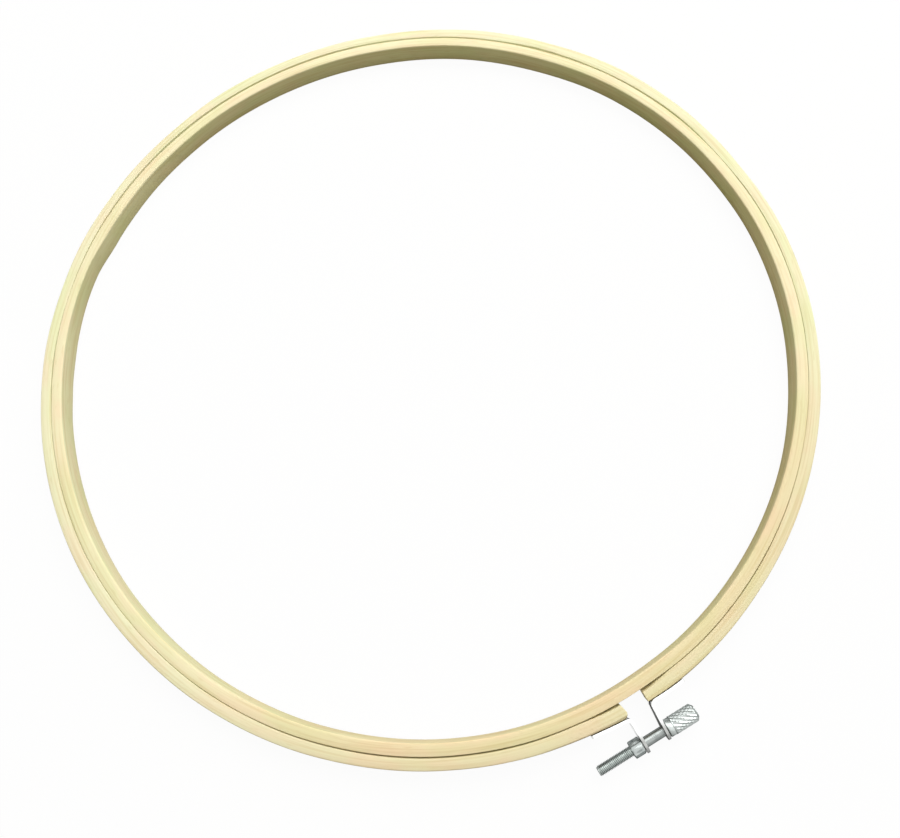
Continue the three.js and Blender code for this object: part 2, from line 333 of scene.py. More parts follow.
@dataclass(frozen=True)
class BambooFinish:
    """Sanded bamboo whose fibres run round a ring.

    Args:
        name: the material's name.
        centre_y: place of the ring's centre.
        pale: the main colour, in screen values.
        warm: colour of the honey patches, in screen values.
        green: colour of the greenish patches, in screen values.
        seed: shifts the pattern, so that two rings differ.
        rim_radius: outer radius of a ring whose outer rim gets painted shade beside the split, or 0.
        rim_fade: where the painted shade starts and is full, from that radius.
        rim_side: sines of the angles between which it starts and is full.
        rim_shade: what the painted shade multiplies the colour by.
        clamp_side: sines of the angles between which the darker, warmer tone on the clamp side starts
            and is full.
        honey: what that side multiplies the colour by.
        patches: the honey patches.
        tints: the greenish patches.
        fibres: the fine fibres.
        bundles: the coarser bundles of fibres.
        fibre_share: how strongly the fine fibres show.
        bundle_share: how strongly the bundles show.
        fibre: what the darkest fibres multiply the colour by.
        fibre_wear: how much rougher they are.
        fibre_depth: how deep they lie.
        fibre_relief: share of that depth that shows.
        roughness: roughness of the sanded surface.
        sheen_level: strength of its mirrored light.
    """

    name: str
    centre_y: float
    pale: Screen
    warm: Screen
    green: Screen
    seed: float
    rim_radius: float = 0.0
    rim_fade: tuple[float, float] = (-0.1 * MM, 0.3 * MM)
    rim_side: tuple[float, float] = (-0.966, -0.988)
    rim_shade: Colour = (0.66, 0.62, 0.6, 1.0)
    clamp_side: tuple[float, float] = (-0.45, -0.85)
    honey: Colour = tone(248, 241, 236)
    patches: Grain = Grain(9.0, 160.0, 0.0, 0.35, 0.68, detail=2.0)
    tints: Grain = Grain(6.0, 110.0, 7.3, 0.44, 0.7, detail=2.0)
    fibres: Grain = Grain(4.0, 1500.0, 3.1, 0.42, 0.72)
    bundles: Grain = Grain(26.0, 1100.0, 11.7, 0.6, 0.74)
    fibre_share: float = 0.38
    bundle_share: float = 0.26
    fibre: Colour = tone(228, 214, 180)
    fibre_wear: float = 0.14
    fibre_depth: float = 0.02 * MM
    fibre_relief: float = 0.5
    roughness: float = 0.62
    sheen_level: float = 0.02

    def place_on_ring(self, sketch: NodeSketch) -> tuple[NodeSocket, ...]:
        """Works out where on the ring a point of the surface lies.

        Args:
            sketch: the material's nodes.

        Returns:
            The cosine and the sine of its angle, its radius and its height.
        """
        place = sketch.coordinates(Location=(0.0, -self.centre_y, 0.0))
        across_x, across_y, up = sketch.add("ShaderNodeSeparateXYZ", {0: place}).outputs
        flat = sketch.add("ShaderNodeCombineXYZ", {0: across_x, 1: across_y}).outputs[0]
        radius = sketch.add("ShaderNodeVectorMath", {0: flat}, operation="LENGTH").outputs["Value"]
        return (sketch.math("DIVIDE", across_x, radius), sketch.math("DIVIDE", across_y, radius),
                radius, up)

    def drawn(self, sketch: NodeSketch, ring: Sequence[NodeSocket], grain: Grain) -> NodeSocket:
        """Draws one grain round the ring.

        Args:
            sketch: the material's nodes.
            ring: the place on the ring.
            grain: the grain.

        Returns:
            How strongly it shows, from 0 to 1.
        """
        cosine, sine, radius, up = ring
        vector = sketch.add("ShaderNodeCombineXYZ", {
            0: sketch.math("MULTIPLY", cosine, grain.along),
            1: sketch.math("MULTIPLY", sine, grain.along),
            2: sketch.math("MULTIPLY", radius, grain.across)}).outputs[0]
        height = sketch.math("ADD", sketch.math("MULTIPLY", up, grain.across),
                             self.seed + grain.shift)
        return sketch.spread(sketch.noise(vector, grain.detail, fourth=height), grain.low, grain.high)

    def build(self) -> Material:
        """Builds the material.

        Returns:
            The finished material.
        """
        material = bpy.data.materials.new(self.name)
        sketch = NodeSketch(material)
        ring = self.place_on_ring(sketch)
        _, sine, radius, _ = ring
        patches, tints, fibres, bundles = (
            self.drawn(sketch, ring, grain)
            for grain in (self.patches, self.tints, self.fibres, self.bundles))
        colour = sketch.blend(patches, tone(*self.pale), tone(*self.warm))
        colour = sketch.blend(tints, colour, tone(*self.green))
        # Darker and warmer towards the clamp side of the ring.
        clamp_share = sketch.spread(sine, *self.clamp_side)
        colour = sketch.blend(clamp_share, colour, self.honey, "MULTIPLY")
        # Painted shade: darkens the outer rim near the split, beside the brackets' legs.
        if self.rim_radius:
            start, full = (self.rim_radius + place for place in self.rim_fade)
            stain_and_shade = sketch.math("MULTIPLY", sketch.spread(radius, start, full),
                                  sketch.spread(sine, *self.rim_side))
            colour = sketch.blend(stain_and_shade, colour, self.rim_shade, "MULTIPLY")
        lines = sketch.math("MAXIMUM", sketch.math("MULTIPLY", fibres, self.fibre_share),
                            sketch.math("MULTIPLY", bundles, self.bundle_share))
        sketch.feed(sketch.shader, {
            "Base Color": sketch.blend(lines, colour, self.fibre, "MULTIPLY"),
            "Specular IOR Level": self.sheen_level,
            "Roughness": sketch.spread(lines, 0.0, 1.0, self.roughness,
                                       self.roughness + self.fibre_wear)})
        sketch.bump(sketch.math("SUBTRACT", 1.0, lines), self.fibre_depth, self.fibre_relief)
        return material


@dataclass(frozen=True)
class PlatedFinish:
    """Bright plating on steel, with the marks of its making.

    Args:
        name: the material's name.
        colour: colour of the plating.
        stain_and_shade: colour of its duller patches.
        roughness: roughness of the clean plating.
        marks: how often the making's marks repeat along X, Y and Z, per metre.
        mark_detail: number of finer layers of the marks, and how strongly they show.
        mark_depth: depth of the marks.
        mark_wear: how much the roughness varies with them.
        stains: how often the duller patches repeat, per metre.
        stain_detail: number of their finer layers.
        stain_range: values of the pattern at which a patch starts and is full.
        stain_wear: how much rougher the patches are.
        edge: how bright the metal stays at a glancing angle.
    """

    name: str
    colour: Colour
    stain_and_shade: Colour
    roughness: float
    marks: tuple[float, float, float]
    mark_detail: tuple[float, float] = (3.0, 0.6)
    mark_depth: float = 0.004 * MM
    mark_wear: float = 0.1
    stains: float = 420.0
    stain_detail: float = 4.0
    stain_range: tuple[float, float] = (0.42, 0.66)
    stain_wear: float = 0.12
    edge: Colour = (0.12, 0.13, 0.13, 1.0)

    def build(self) -> Material:
        """Builds the material.

        Returns:
            The finished material.
        """
        material = bpy.data.materials.new(self.name)
        sketch = NodeSketch(material)
        marks = sketch.noise(sketch.coordinates(Scale=self.marks), *self.mark_detail)
        clouds = sketch.noise(sketch.coordinates(Scale=(self.stains,) * 3), self.stain_detail)
        stain_and_shade = sketch.spread(clouds, *self.stain_range)
        wear = sketch.math("ADD", sketch.math("MULTIPLY", stain_and_shade, self.stain_wear),
                           sketch.math("MULTIPLY", marks, self.mark_wear))
        sketch.feed(sketch.shader, {
            "Base Color": self.shaded(sketch, sketch.blend(stain_and_shade, self.colour, self.stain_and_shade)),
            "Metallic": 1.0,
            "Specular Tint": self.edge,
            "Roughness": sketch.math("ADD", wear, self.roughness - self.mark_wear / 2.0)})
        sketch.bump(marks, self.mark_depth)
        return material

    def shaded(self, sketch: NodeSketch, colour: NodeSocket) -> NodeSocket:
        """Returns the plating's colour as it is."""
        return colour


@dataclass(frozen=True)
class FadingFinish(PlatedFinish):
    """A plating whose tone changes along one axis, which paints shade into its colour.

    Args:
        axis: number of the axis, 0 for X and 1 for Y.
        changes: where each change starts and ends, and what multiplies the colour after it.
    """

    axis: int = 0
    changes: tuple[tuple[float, float, Colour], ...] = ()

    def shaded(self, sketch: NodeSketch, colour: NodeSocket) -> NodeSocket:
        """Paints shade into the plating's tone along the axis.

        Args:
            sketch: the material's nodes.
            colour: the plating's colour.

        Returns:
            The colour with its changes.
        """
        place = sketch.add("ShaderNodeSeparateXYZ", {0: sketch.coordinates()}).outputs[self.axis]
        change: object = WHITE
        for start, end, tint in self.changes:
            change = sketch.blend(sketch.spread(place, start, end), change, tint)
        return sketch.blend(1.0, colour, change, "MULTIPLY")


@dataclass(frozen=True)
class Palette:
    """The finishes of all the pieces, built once.

    Args:
        inner_face: upper and lower faces of the inner ring.
        inner_wall: walls of the inner ring.
        outer_face: upper and lower faces of the outer ring.
        outer_wall: walls of the outer ring.
        sheet: the bright side and the punched edges of the brackets, with painted shade greyer round
            the screw and darker at the ears' tips.
        sheet_inside: painted shade on the brackets' side towards the split and the wood, darkest by the
            bend and lighter again beside the wood.
        brad: the brads.
        screw: the thumb screw, with painted shade on its plain shank.
        nut: the nut.
    """

    inner_face: Material
    inner_wall: Material
    outer_face: Material
    outer_wall: Material
    sheet: Material
    sheet_inside: Material
    brad: Material
    screw: Material
    nut: Material

    @classmethod
    def mixed_for(cls, layout: HoopLayout) -> "Palette":
        """Mixes the finishes.

        Args:
            layout: where the hoop stands, which the grain, the clamp side's tone and the painted shade
                follow.

        Returns:
            The palette.
        """
        centre, rim, axis = layout.centre_y, layout.outer_ring_radius, layout.screw_y
        wood = centre - rim
        turned = ThumbScrew(layout)
        finishes = {
            "inner_face": BambooFinish("inner_ring_face", centre, (244, 236, 198), (247, 230, 195),
                                       (238, 234, 190), seed=2.0),
            "inner_wall": BambooFinish("inner_ring_wall", centre, (236, 235, 200), (238, 230, 198),
                                       (231, 234, 194), seed=2.0),
            "outer_face": BambooFinish("outer_ring_face", centre, (241, 238, 202), (244, 232, 199),
                                       (236, 237, 194), seed=31.0, rim_radius=rim),
            "outer_wall": BambooFinish("outer_ring_wall", centre, (237, 236, 202), (239, 231, 200),
                                       (232, 235, 196), seed=31.0, rim_radius=rim),
            # Painted shade: the plating turns greyer round the screw and darker at the ears' tips.
            "sheet": FadingFinish(
                "bracket_plating", (0.76, 0.77, 0.76, 1.0), (0.68, 0.69, 0.68, 1.0), 0.3,
                (900.0, 9000.0, 900.0), edge=WHITE, axis=1,
                changes=((axis + 4.6 * MM, axis + 1.0 * MM, (0.46, 0.46, 0.45, 1.0)),
                         (axis - 1.9 * MM, axis - 2.9 * MM, (0.2, 0.2, 0.2, 1.0)))),
            # Painted shade: a dark plating, near black towards the bend and lightened again beside the
            # wood.
            "sheet_inside": FadingFinish(
                "bracket_inside", (0.3, 0.3, 0.29, 1.0), (0.22, 0.22, 0.21, 1.0), 0.4,
                (900.0, 9000.0, 900.0), axis=1,
                changes=((wood - 4.2 * MM, wood - 1.2 * MM, (0.1, 0.1, 0.1, 1.0)),
                         (wood - 0.9 * MM, wood + 0.1 * MM, (2.4, 2.3, 2.1, 1.0)))),
            "brad": PlatedFinish("brad_plating", (0.7, 0.71, 0.7, 1.0), (0.56, 0.57, 0.56, 1.0),
                                 0.34, (3000.0, 3000.0, 3000.0)),
            # Painted shade: the plain shank between the thread's run-out and the collar is darkened.
            "screw": FadingFinish(
                "screw_plating", (0.46, 0.49, 0.475, 1.0), (0.38, 0.41, 0.395, 1.0), 0.28,
                (9000.0, 500.0, 500.0),
                changes=((turned.thread_end - turned.run_out, turned.thread_end,
                          (0.58, 0.58, 0.58, 1.0)),
                         (turned.collar_x - 0.3 * MM, turned.collar_x, (1.02, 1.02, 1.02, 1.0)))),
            "nut": PlatedFinish("nut_plating", (0.34, 0.365, 0.355, 1.0), (0.24, 0.265, 0.26, 1.0),
                                0.26, (2500.0, 2500.0, 2500.0)),
        }
        return cls(**{part: finish.build() for part, finish in finishes.items()})


def everything(bm: BMesh) -> list:
    """Returns all points, edges and faces of a mesh."""
    return bm.verts[:] + bm.edges[:] + bm.faces[:]


def outline(bm: BMesh, places: Iterable[tuple[float, float, float]]) -> None:
    """Draws an open outline of straight edges.

    Args:
        bm: the mesh that gets it.
        places: its points, in order.
    """
    points = [bm.verts.new(place) for place in places]
    for first, second in zip(points, points[1:]):
        bm.edges.new((first, second))


def spun(bm: BMesh, steps: int) -> None:
    """Spins an outline a full turn about the Z axis, and closes it.

    Args:
        bm: the mesh that holds the outline.
        steps: facets round the axis.
    """
    bmesh.ops.spin(bm, geom=everything(bm), cent=ORIGIN, axis=Z_AXIS, angle=FULL_TURN, steps=steps,
                   use_merge=True)
    bmesh.ops.remove_doubles(bm, verts=bm.verts[:], dist=MERGE)


def rounded(bm: BMesh, geom: Iterable, size: float, segments: int, affect: str = "EDGES") -> None:
    """Rounds edges of a solid, or corners of a flat shape.

    Args:
        bm: the mesh.
        geom: the edges or corners.
        size: how far the rounding reaches.
        segments: its facets.
        affect: EDGES or VERTICES.
    """
    bmesh.ops.bevel(bm, geom=list(geom), affect=affect, offset=size, segments=segments,
                    profile=0.5, material=-1, clamp_overlap=affect == "EDGES")


def cut_across(bm: BMesh, place: float, geom: Optional[list] = None, **settings: object) -> None:
    """Cuts a mesh along a plane square to the X axis.

    Args:
        bm: the mesh.
        place: place of the plane.
        geom: the part of the mesh that is cut, if not all of it.
        **settings: settings of the cut that differ from the usual ones.
    """
    bmesh.ops.bisect_plane(bm, geom=everything(bm) if geom is None else geom,
                           plane_co=(place, 0.0, 0.0),
                           **{"plane_no": X_AXIS, "dist": MERGE, **settings})


def close_holes(bm: BMesh) -> None:
    """Closes every hole with one face."""
    bmesh.ops.holes_fill(bm, edges=[edge for edge in bm.edges if edge.is_boundary], sides=0)


def loop_at(bm: BMesh, loop: Iterable[BMEdge], move: Move) -> list[BMEdge]:
    """Extrudes a loop of edges and moves the new one into its place.

    Args:
        bm: the mesh.
        loop: the loop's edges.
        move: gives each new point its place.

    Returns:
        The new loop's edges.
    """
    made = bmesh.ops.extrude_edge_only(bm, edges=list(loop))["geom"]
    for item in made:
        if isinstance(item, BMVert):
            item.co = move(item.co)
    return [item for item in made
            if isinstance(item, BMEdge) and all(vert in made for vert in item.verts)]


def angle_round_x(point: Vector) -> float:
    """Returns a point's angle round the X axis."""
    return math.atan2(point.z, point.y)


def on_circle(place: float, radius: float, angle: float) -> Vector:
    """Returns a point of a circle round the X axis."""
    return Vector((place, radius * math.cos(angle), radius * math.sin(angle)))


def set_radius(vert: BMVert, radius: float) -> None:
    """Moves a point straight out or in to a distance from the X axis."""
    factor = radius / math.hypot(vert.co.y, vert.co.z)
    vert.co = (vert.co.x, vert.co.y * factor, vert.co.z * factor)


def placed(bm: BMesh, name: str, materials: Sequence[Material], sharp: float = 35.0) -> Object:
    """Turns a finished mesh into an object at the origin.

    Args:
        bm: the mesh, which is freed.
        name: name of the object.
        materials: its finishes, in the order of the faces' numbers.
        sharp: angle in degrees over which an edge stays crisp.

    Returns:
        The new object.
    """
    bmesh.ops.recalc_face_normals(bm, faces=bm.faces[:])
    mesh = bpy.data.meshes.new(name)
    bm.to_mesh(mesh)
    bm.free()
    mesh.shade_smooth()
    mesh.set_sharp_from_angle(angle=math.radians(sharp))
    for material in materials:
        mesh.materials.append(material)
    piece = bpy.data.objects.new(name, mesh)
    bpy.context.scene.collection.objects.link(piece)
    log.info("%s: %d faces", name, len(mesh.polygons))
    return piece


@dataclass
class BambooRing:
    """A ring bent from one bamboo strip.

    Args:
        layout: where the hoop stands.
        bend: how the hoop departs from true circles.
        meeting_round: rounding of the edges beside the other ring.
        steps: facets round the ring.
        round_segments: facets of a rounded edge.
        dip_depth: how deep the sanding dips into a wall.
        dips: how closely the dips follow each other.
        dip_seed: sets one ring's dips apart from the other's.
        level: how squarely a face looks up or down for it to count as level.
    """

    layout: HoopLayout
    bend: HandBend = HandBend()
    meeting_round: float = 0.16 * MM
    steps: int = 480
    round_segments: int = 3
    dip_depth: float = 0.07 * MM
    dips: float = 5.0
    dip_seed: float = 0.0
    level: float = 0.6

    def section(self, bm: BMesh, radii: tuple[float, float], rounds: tuple[float, float]) -> None:
        """Adds the strip's section, a rounded rectangle in the XZ plane.

        Args:
            bm: the mesh that gets it.
            radii: radii of the inner and the outer wall.
            rounds: rounding of the two inner and the two outer edges.
        """
        (inner, outer), top = radii, self.layout.height
        corners = [bm.verts.new((x, 0.0, z))
                   for x, z in ((inner, 0.0), (outer, 0.0), (outer, top), (inner, top))]
        bm.faces.new(corners)
        for size, pair in zip(rounds, ((corners[0], corners[3]), (corners[1], corners[2]))):
            rounded(bm, pair, size, self.round_segments, "VERTICES")

    def dip(self, degrees: float) -> float:
        """Returns how deep the sanding dips into a wall at an angle."""
        place = Matrix.Rotation(math.radians(degrees), 3, "Z") @ Vector((self.dips, 0.0, self.dip_seed))
        return self.dip_depth * (0.5 + 0.5 * noise.noise(place))

    def shift_out(self, vert: BMVert, distance: float) -> None:
        """Moves a point away from the ring's own centre."""
        factor = 1.0 + distance / vert.co.to_2d().length
        vert.co = (vert.co.x * factor, vert.co.y * factor, vert.co.z)

    def inner_shift(self, degrees: float, up: float) -> float:
        """Returns how far the inner wall stands outwards from the strip's own bend."""
        raise NotImplementedError

    def outer_shift(self, degrees: float) -> float:
        """Returns how far the outer wall stands outwards from the strip's own bend."""
        return 0.0

    def bend_by_hand(self, bm: BMesh, middle: float) -> None:
        """Moves both walls to where they stand on the hand-bent strip.

        Args:
            bm: the ring's mesh, round its own centre.
            middle: radius between the two walls.
        """
        for vert in bm.verts:
            degrees = math.degrees(math.atan2(vert.co.y, vert.co.x)) % 360.0
            if vert.co.to_2d().length < middle:
                shift = self.inner_shift(degrees, vert.co.z / self.layout.height)
            else:
                shift = self.outer_shift(degrees)
            self.shift_out(vert, shift + eased_round(self.bend.out_of_round, degrees))

    def dress(self, bm: BMesh) -> None:
        """Moves the ring into place, and gives level faces the first finish and walls the second.

        Args:
            bm: the ring's mesh, which is kept within the ring's height.
        """
        for vert in bm.verts:
            vert.co.y += self.layout.centre_y
            vert.co.z = min(max(vert.co.z, 0.0), self.layout.height)
        bm.normal_update()
        for face in bm.faces:
            face.material_index = 0 if abs(face.normal.z) > self.level else 1


@dataclass
class InnerRing(BambooRing):
    """The closed ring, with the glued scarf joint of its strip on the left.

    Args:
        thickness: thickness of the strip.
        scarf_start, scarf_full, scarf_end: angles at which the wall starts to thin, is thinnest
            and is back at its full thickness, in degrees.
        scarf_low, scarf_high: how much thinner it is at the bottom and at the top.
        bore_round: rounding of the edges round the opening.
    """

    dip_seed: float = 9.0
    thickness: float = 4.3 * MM
    scarf_start: float = 128.5
    scarf_full: float = 135.5
    scarf_end: float = 168.0
    scarf_low: float = 1.45 * MM
    scarf_high: float = 0.75 * MM
    bore_round: float = 0.55 * MM

    def scarf(self, degrees: float) -> float:
        """Returns the share of the scarf's full depth at an angle, from 0 to 1."""
        rise = (degrees - self.scarf_start) / (self.scarf_full - self.scarf_start)
        return smoothstep(rise) * smoothstep(
            (self.scarf_end - degrees) / (self.scarf_end - self.scarf_full))

    def inner_shift(self, degrees: float, up: float) -> float:
        """Thins the inner wall at the scarf, and thickens its foot."""
        scarf = mixed(self.scarf_low, self.scarf_high, up) * self.scarf(degrees)
        return self.dip(degrees) + scarf - eased_round(self.bend.thick_foot, degrees) * (1.0 - up)

    def build(self, palette: Palette) -> Object:
        """Builds the ring.

        Args:
            palette: the finishes.

        Returns:
            The ring.
        """
        outer = self.layout.inner_ring_radius
        bm = bmesh.new()
        self.section(bm, (outer - self.thickness, outer), (self.bore_round, self.meeting_round))
        bmesh.ops.delete(bm, geom=bm.faces[:], context="FACES_ONLY")
        spun(bm, self.steps)
        self.bend_by_hand(bm, outer - self.thickness / 2.0)
        self.dress(bm)
        piece = placed(bm, "inner_ring_bamboo", (palette.inner_face, palette.inner_wall))
        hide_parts("inner_ring")
        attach(piece, "inner_hoop")
        return piece


@dataclass
class OuterRing(BambooRing):
    """The split ring, sawn through at the front.

    Args:
        exposed_round: rounding of the outer edges.
        gap: width of the split at the inner ring.
        left_slant: how far the left end reaches further into the split at its outer edge.
        right_slant: how far the right end is undercut at its lower edge.
        slant_reach: distance from the end over which both fade out.
        corner_round: rounding of the left end's outer corner, seen from above.
        corner_cuts: distances from the end at which that corner is shaped, in millimetres.
        cut_reach: how far past the last of them the strip is looked at.
        end_round: rounding of the sawn ends' edges.
        end_segments: facets of that rounding.
        bend_width: width of the strip that bends when the clamp opens; not used.
        joint_foot: share of the open joint that is left at the lower edge.
    """

    dip_seed: float = 4.0
    exposed_round: float = 0.45 * MM
    gap: float = 8.7 * MM
    left_slant: float = 0.62 * MM
    right_slant: float = 0.6 * MM
    slant_reach: float = 3.0 * MM
    corner_round: float = 1.6 * MM
    corner_cuts: tuple[float, ...] = (0.2, 0.45, 0.8, 1.2, 1.7)
    cut_reach: float = 17.4 * MM
    end_round: float = 0.12 * MM
    end_segments: int = 2
    bend_width: float = 8.0 * MM
    joint_foot: float = 0.35

    def inner_shift(self, degrees: float, up: float) -> float:
        """Opens the joint to the inner ring, less so towards its foot."""
        return eased_round(self.bend.open_joint, degrees) * mixed(self.joint_foot, 1.0, up)

    def outer_shift(self, degrees: float) -> float:
        """Thickens the strip on its outside, where the sanding dips into it."""
        return eased_round(self.bend.thick_outside, degrees) - self.dip(degrees)

    def build(self, palette: Palette) -> Object:
        """Builds the ring.

        Args:
            palette: the finishes.

        Returns:
            The ring.
        """
        outer, inner = self.layout.outer_ring_radius, self.layout.inner_ring_radius
        middle = (outer + inner) / 2.0
        half_split = math.asin(self.gap / 2.0 / middle)
        bm = bmesh.new()
        self.section(bm, (inner, outer), (self.meeting_round, self.exposed_round))
        bmesh.ops.rotate(bm, verts=bm.verts[:], cent=ORIGIN,
                         matrix=Matrix.Rotation(half_split - math.pi / 2.0, 3, "Z"))
        bmesh.ops.spin(bm, geom=everything(bm), cent=ORIGIN, axis=Z_AXIS,
                       angle=2.0 * (math.pi - half_split), steps=self.steps)
        caps = self.shape_ends(bm, middle)
        self.bend_by_hand(bm, middle)
        rounded(bm, [edge for cap in caps for edge in cap.edges], self.end_round, self.end_segments)
        self.dress(bm)
        piece = placed(bm, "outer_ring_bamboo", (palette.outer_face, palette.outer_wall))
        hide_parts("outer_ring")
        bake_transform(piece)
        return piece

    def cut_corners(self, bm: BMesh) -> None:
        """Cuts both ends across where their corners are shaped, and leaves the ring's back whole.

        Args:
            bm: the ring's mesh, round its own centre.
        """
        reach = self.corner_cuts[-1] * MM + self.cut_reach
        for side in (-1.0, 1.0):
            for cut in self.corner_cuts:
                faces = [face for face in bm.faces if face.calc_center_median().y < 0.0
                         and 0.0 < side * face.calc_center_median().x < reach]
                edges = list(dict.fromkeys(edge for face in faces for edge in face.edges))
                verts = list(dict.fromkeys(vert for edge in edges for vert in edge.verts))
                cut_across(bm, side * (self.gap / 2.0 + cut * MM), faces + edges + verts)

    def shape_ends(self, bm: BMesh, middle: float) -> list[BMFace]:
        """Squares and slants the two sawn ends, and rounds the left one's outer corner.

        Args:
            bm: the ring's mesh, round its own centre.
            middle: radius of the middle of the strip.

        Returns:
            The two end faces.
        """
        half = self.gap / 2.0
        caps = [face for face in bm.faces if len(face.verts) > 4]
        for cap in caps:
            side = math.copysign(1.0, cap.calc_center_median().x)
            for vert in cap.verts:
                vert.co.x = side * half
        self.cut_corners(bm)
        for vert in bm.verts:
            from_end = abs(vert.co.x) - half
            if vert.co.y > 0.0 or from_end > self.slant_reach:
                continue
            keep = 1.0 - from_end / self.slant_reach
            if vert.co.x > 0.0:
                vert.co.x += self.right_slant * (1.0 - vert.co.z / self.layout.height) * keep
                continue
            outward = ((vert.co.to_2d().length - middle)
                       / (self.layout.outer_ring_radius - middle))
            inside = max(self.corner_round - from_end, 0.0)
            drawn_in = self.corner_round - math.sqrt(self.corner_round ** 2 - inside ** 2)
            self.shift_out(vert, -drawn_in * max(outward, 0.0))
            vert.co.x += self.left_slant * (0.5 + 0.5 * outward) * keep
        return [cap for cap in caps if cap.is_valid]


@dataclass
class Bracket:
    """A bracket punched from sheet, with a leg along the ring, a bend and an ear round the screw.

    Args:
        layout: where the hoop stands.
        side: the end of the ring that it holds.
        thickness: thickness of the sheet.
        leg_length: length of the leg from the ear's face.
        bend_radius: inside radius of the bend.
        leg_steps, bend_steps: facets along the leg and the bend.
        seat: clearance between the leg and the wood.
        tip_fill: radius of the ear's round tip, as a share of half the width.
        corner_round: rounding of the leg's corners.
        hole_radius: radius of the hole for the screw.
        brad_hole: radius of the holes for the brads.
        hole_steps, brad_hole_steps: points round the holes.
        brad_from_end: distance of the outer brad from the leg's end.
        brad_from_ear: distance of the inner brad from the ear.
        rim: rounding of the punched edges.
        tip_segments, corner_segments, rim_segments: facets of the roundings.
        right_lean: how far the right ear's upper part leans away from the split.
        level: how squarely a face of the flat sheet looks down for it to get the painted shade.
        bend: how the wood under the leg departs from a true circle.
    """

    layout: HoopLayout
    side: Side
    thickness: float = 1.0 * MM
    leg_length: float = 15.0 * MM
    leg_steps: int = 10
    bend_radius: float = 1.25 * MM
    bend_steps: int = 8
    seat: float = 0.3 * MM
    tip_fill: float = 0.999
    tip_segments: int = 14
    corner_round: float = 0.7 * MM
    corner_segments: int = 4
    hole_radius: float = 2.2 * MM
    hole_steps: int = 40
    brad_hole: float = 0.65 * MM
    brad_hole_steps: int = 16
    brad_from_end: float = 3.2 * MM
    brad_from_ear: float = 4.8 * MM
    rim: float = 0.12 * MM
    rim_segments: int = 2
    right_lean: float = 0.7 * MM
    level: float = 0.9
    bend: HandBend = HandBend()
    low: Vector = field(init=False)
    high: Vector = field(init=False)

    def __post_init__(self) -> None:
        """Reads the solid's own size."""
        self.low, self.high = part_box(f"{self.side.name.lower()}_bracket")

    def wood_out(self, angle: float) -> float:
        """Returns how far the wood lies outside its circle, at an angle from the front."""
        return self.bend.outer_wall(270.0 + self.side.value * math.degrees(angle))

    @property
    def lean(self) -> float:
        """How far the ear's upper part leans away from the split."""
        return self.right_lean if self.side is Side.RIGHT else 0.0

    @property
    def gap_face(self) -> float:
        """Distance of the ear's inner face from the middle of the split."""
        return self.low.x if self.side is Side.RIGHT else -self.high.x

    @property
    def width(self) -> float:
        """Width of the sheet."""
        return self.high.z - self.low.z

    @property
    def leg_radius(self) -> float:
        """Radius of the leg's inner face."""
        return self.layout.outer_ring_radius + self.seat

    def leg_angle(self, distance: float) -> float:
        """Returns the angle from the front at a distance along the leg."""
        return (self.gap_face + distance) / (self.leg_radius + self.thickness)

    def brad_angles(self) -> tuple[float, float]:
        """Returns the angles of the two brads from the front, the outer one first."""
        return (self.leg_angle(self.leg_length - self.brad_from_end),
                self.leg_angle(self.brad_from_ear))

    def build(self, palette: Palette) -> Object:
        """Punches the flat sheet, cuts it where it bends, and folds it round the ring's end.

        Args:
            palette: the finishes.

        Returns:
            The bracket.
        """
        bend_outer = self.bend_radius + self.thickness
        bend_x = self.gap_face + self.lean + bend_outer
        bend_reach = self.leg_radius + self.wood_out(self.leg_angle(0.0)) + bend_outer
        bend_y = -math.sqrt(bend_reach ** 2 - bend_x ** 2)
        tip = self.layout.screw_y - self.layout.centre_y - self.width / 2.0
        ear = bend_y - tip
        leg_start = math.asin(bend_x / bend_reach)
        neutral = bend_outer - self.thickness / 2.0
        bend = (math.pi / 2.0 - leg_start) * neutral
        leg_neutral = self.leg_radius + self.thickness / 2.0
        leg = (self.leg_angle(self.leg_length) - leg_start) * leg_neutral
        bm = bmesh.new()
        self.punch(bm, ear + bend + leg, ear + bend,
                   [ear + bend + (angle - leg_start) * leg_neutral for angle in self.brad_angles()])
        for step in range(self.bend_steps + 1):
            cut_across(bm, ear + bend * step / self.bend_steps)
        for step in range(1, self.leg_steps):
            cut_across(bm, ear + bend + leg * step / self.leg_steps)
        for vert in bm.verts:
            run, across, depth = vert.co
            if run <= ear:
                leaned = max(run - self.width / 2.0, 0.0) / (ear - self.width / 2.0)
                x, y = self.gap_face + depth + self.lean * leaned, tip + run
            elif run <= ear + bend:
                angle = math.pi - (run - ear) / neutral
                x = bend_x + (bend_outer - depth) * math.cos(angle)
                y = bend_y + (bend_outer - depth) * math.sin(angle)
            else:
                angle = leg_start + (run - ear - bend) / leg_neutral
                reach = self.leg_radius + self.wood_out(max(angle, leg_start)) + depth
                x, y = reach * math.sin(angle), -reach * math.cos(angle)
            vert.co = (self.side.value * x, y + self.layout.centre_y, across + self.layout.middle)
        name = self.side.name.lower()
        piece = placed(bm, f"{name}_bracket_sheet", (palette.sheet, palette.sheet_inside))
        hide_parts(f"{name}_bracket")
        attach(piece, "right_clamp" if self.side is Side.RIGHT else "outer_hoop")
        return piece

